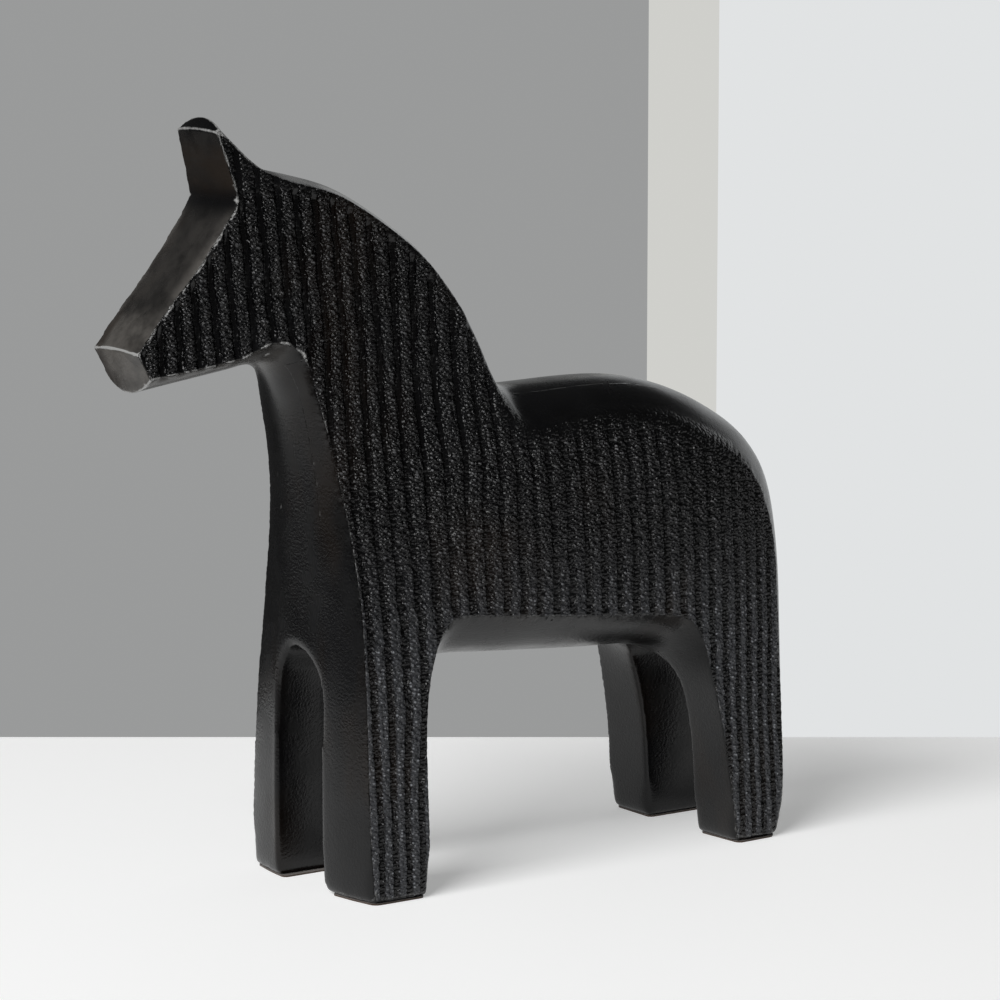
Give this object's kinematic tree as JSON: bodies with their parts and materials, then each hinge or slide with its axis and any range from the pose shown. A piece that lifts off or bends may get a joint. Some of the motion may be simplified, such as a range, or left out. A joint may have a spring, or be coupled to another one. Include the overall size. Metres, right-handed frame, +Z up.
{
  "type": "horse figurine",
  "caption": "Standing stylised horse carved from three glued boards, with ribbed sides, an arched slot between the legs and thin foot pads.",
  "frame": {"origin": "on the ground under the middle of the horse, at the bottom centre of its box", "axes": "+X from the muzzle towards the rump, +Y from the horse's left side to its right, +Z up"},
  "size_m": [0.2358, 0.0664, 0.23],
  "materials": {
    "black_lacquer": "satin black lacquer over carved hardwood, worn pale along the edges",
    "dowel_wood": "plain turned beech, unfinished",
    "pad_felt": "thin brown felt"
  },
  "bodies": {
    "root": {"core_board": "black_lacquer", "left_board": "black_lacquer", "right_board": "black_lacquer", "dowel_neck": "dowel_wood", "dowel_chest": "dowel_wood", "dowel_withers": "dowel_wood", "dowel_belly": "dowel_wood", "dowel_loin": "dowel_wood", "dowel_rump": "dowel_wood", "foot_pad_front_left": "pad_felt", "foot_pad_front_right": "pad_felt", "foot_pad_rear_left": "pad_felt", "foot_pad_rear_right": "pad_felt"}
  },
  "joints": []
}
